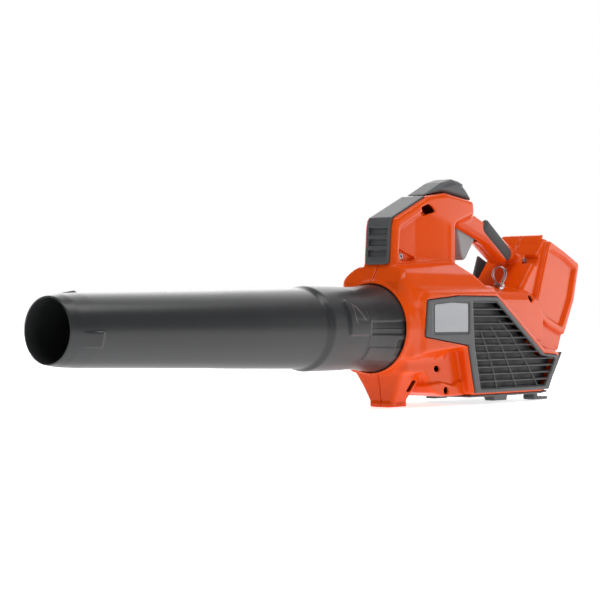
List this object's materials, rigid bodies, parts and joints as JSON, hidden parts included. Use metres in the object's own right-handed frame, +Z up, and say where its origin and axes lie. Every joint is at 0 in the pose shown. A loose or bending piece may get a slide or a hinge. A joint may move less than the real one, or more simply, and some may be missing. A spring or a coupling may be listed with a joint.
{
  "type": "handheld leaf blower",
  "caption": "Handheld battery leaf blower with an axial fan, loop handle, trigger, removable battery and twist-off blow tube.",
  "frame": {"origin": "on the floor below the middle of the overall length and width", "axes": "+X from the outlet back to the battery, along the fan axis; +Y the user's right; +Z up"},
  "size_m": [0.99, 0.1272, 0.3035],
  "materials": {
    "housing_orange": "gloss moulded, orange",
    "grey_plastic": "satin grained, dark grey",
    "tube_charcoal": "satin, charcoal",
    "plate_silver": "satin silver foil",
    "soft_grip": "matt soft-touch",
    "light_grey_plastic": "satin, mid grey",
    "black_plastic": "matt black",
    "black_rubber": "matt",
    "steel": "plated",
    "spring_steel": "bright wire",
    "aluminium": "extruded",
    "magnet": "nickel plated",
    "stator": "laminations with varnished copper",
    "board": "solder mask green",
    "wire": "insulated wire",
    "cells": "shrink sleeve",
    "contact_brass": "plated contact",
    "lens": "clear lens"
  },
  "bodies": {
    "housing": {"base_frame": "grey_plastic", "battery_holder": "black_plastic", "battery_leads": "wire", "collar_seal": "black_rubber", "control_board": "board", "control_cover": "grey_plastic", "eyelet_bracket": "steel", "fan_duct": "black_plastic", "front_bearing": "steel", "front_duct_ring": "black_rubber", "front_vent_strip": "grey_plastic", "heat_sink": "aluminium", "housing_screws": "steel", "keypad_board": "board", "latch_pin": "steel", "latch_spring": "spring_steel", "left_grille": "grey_plastic", "left_grip_pad": "soft_grip", "left_housing": "housing_orange", "left_plate": "plate_silver", "motor_leads": "wire", "motor_stator": "stator", "outlet_collar": "tube_charcoal", "rear_bearing": "steel", "rear_duct_ring": "black_rubber", "right_grille": "grey_plastic", "right_grip_pad": "soft_grip", "right_housing": "housing_orange", "right_plate": "plate_silver", "tail_cone": "black_plastic", "terminal_block": "contact_brass", "trigger_pin": "steel", "trigger_spring": "spring_steel", "trigger_switch": "black_plastic"},
    "tube": {"blower_tube": "tube_charcoal"},
    "rotor": {"impeller": "black_plastic", "impeller_nut": "steel", "spinner": "black_plastic", "motor_shaft": "steel", "rotor_bell": "steel", "rotor_magnets": "magnet"},
    "trigger": {"trigger": "light_grey_plastic"},
    "boost_button": {"boost_button": "black_rubber"},
    "power_button": {"power_button": "black_rubber"},
    "cruise_button": {"cruise_button": "black_rubber"},
    "battery": {"battery_case": "black_plastic", "battery_cap": "grey_plastic", "battery_cells": "cells", "battery_contacts": "black_plastic", "charge_lens": "lens"},
    "charge_button": {"charge_button": "black_rubber"},
    "battery_latch": {"battery_latch": "grey_plastic"},
    "strap_eyelet": {"strap_eyelet": "steel"}
  },
  "joints": [
    {"name": "tube_twist", "type": "hinge", "parent": "housing", "child": "tube", "pos_m": [-0.045, 0, 0.1025], "axis": [-1, 0, 0], "range_deg": [0, 30]},
    {"name": "fan_spin", "type": "hinge", "parent": "housing", "child": "rotor", "pos_m": [0.165, 0, 0.1025], "axis": [-1, 0, 0], "continuous": true},
    {"name": "trigger_pull", "type": "hinge", "parent": "housing", "child": "trigger", "pos_m": [0.244, 0, 0.2435], "axis": [0, -1, 0], "range_deg": [0, 11], "stiffness_Nm_per_rad": 0.6, "deforming": ["trigger_spring"]},
    {"name": "battery_slide", "type": "slide", "parent": "housing", "child": "battery", "axis": [0.3843, 0, 0.9232], "range_m": [0, 0.118]},
    {"name": "charge_press", "type": "slide", "parent": "battery", "child": "charge_button", "axis": [-0.3843, 0, -0.9232], "range_m": [0, 0.0006], "stiffness_N_per_m": 600},
    {"name": "latch_press", "type": "hinge", "parent": "housing", "child": "battery_latch", "pos_m": [0.39076, 0.0435, 0.18002], "axis": [0.3843, 0, 0.9232], "range_deg": [0, 8], "stiffness_Nm_per_rad": 0.3, "deforming": ["latch_spring"]},
    {"name": "eyelet_swing", "type": "hinge", "parent": "housing", "child": "strap_eyelet", "pos_m": [0.311, -0.029, 0.1609], "axis": [0, 1, 0], "range_deg": [-42, 42]},
    {"name": "boost_press", "type": "slide", "parent": "housing", "child": "boost_button", "axis": [-0.5812, 0, -0.8137], "range_m": [0, 0.0008], "stiffness_N_per_m": 600},
    {"name": "power_press", "type": "slide", "parent": "housing", "child": "power_button", "axis": [-0.5812, 0, -0.8137], "range_m": [0, 0.0008], "stiffness_N_per_m": 600},
    {"name": "cruise_press", "type": "slide", "parent": "housing", "child": "cruise_button", "axis": [-0.5812, 0, -0.8137], "range_m": [0, 0.0008], "stiffness_N_per_m": 600}
  ]
}
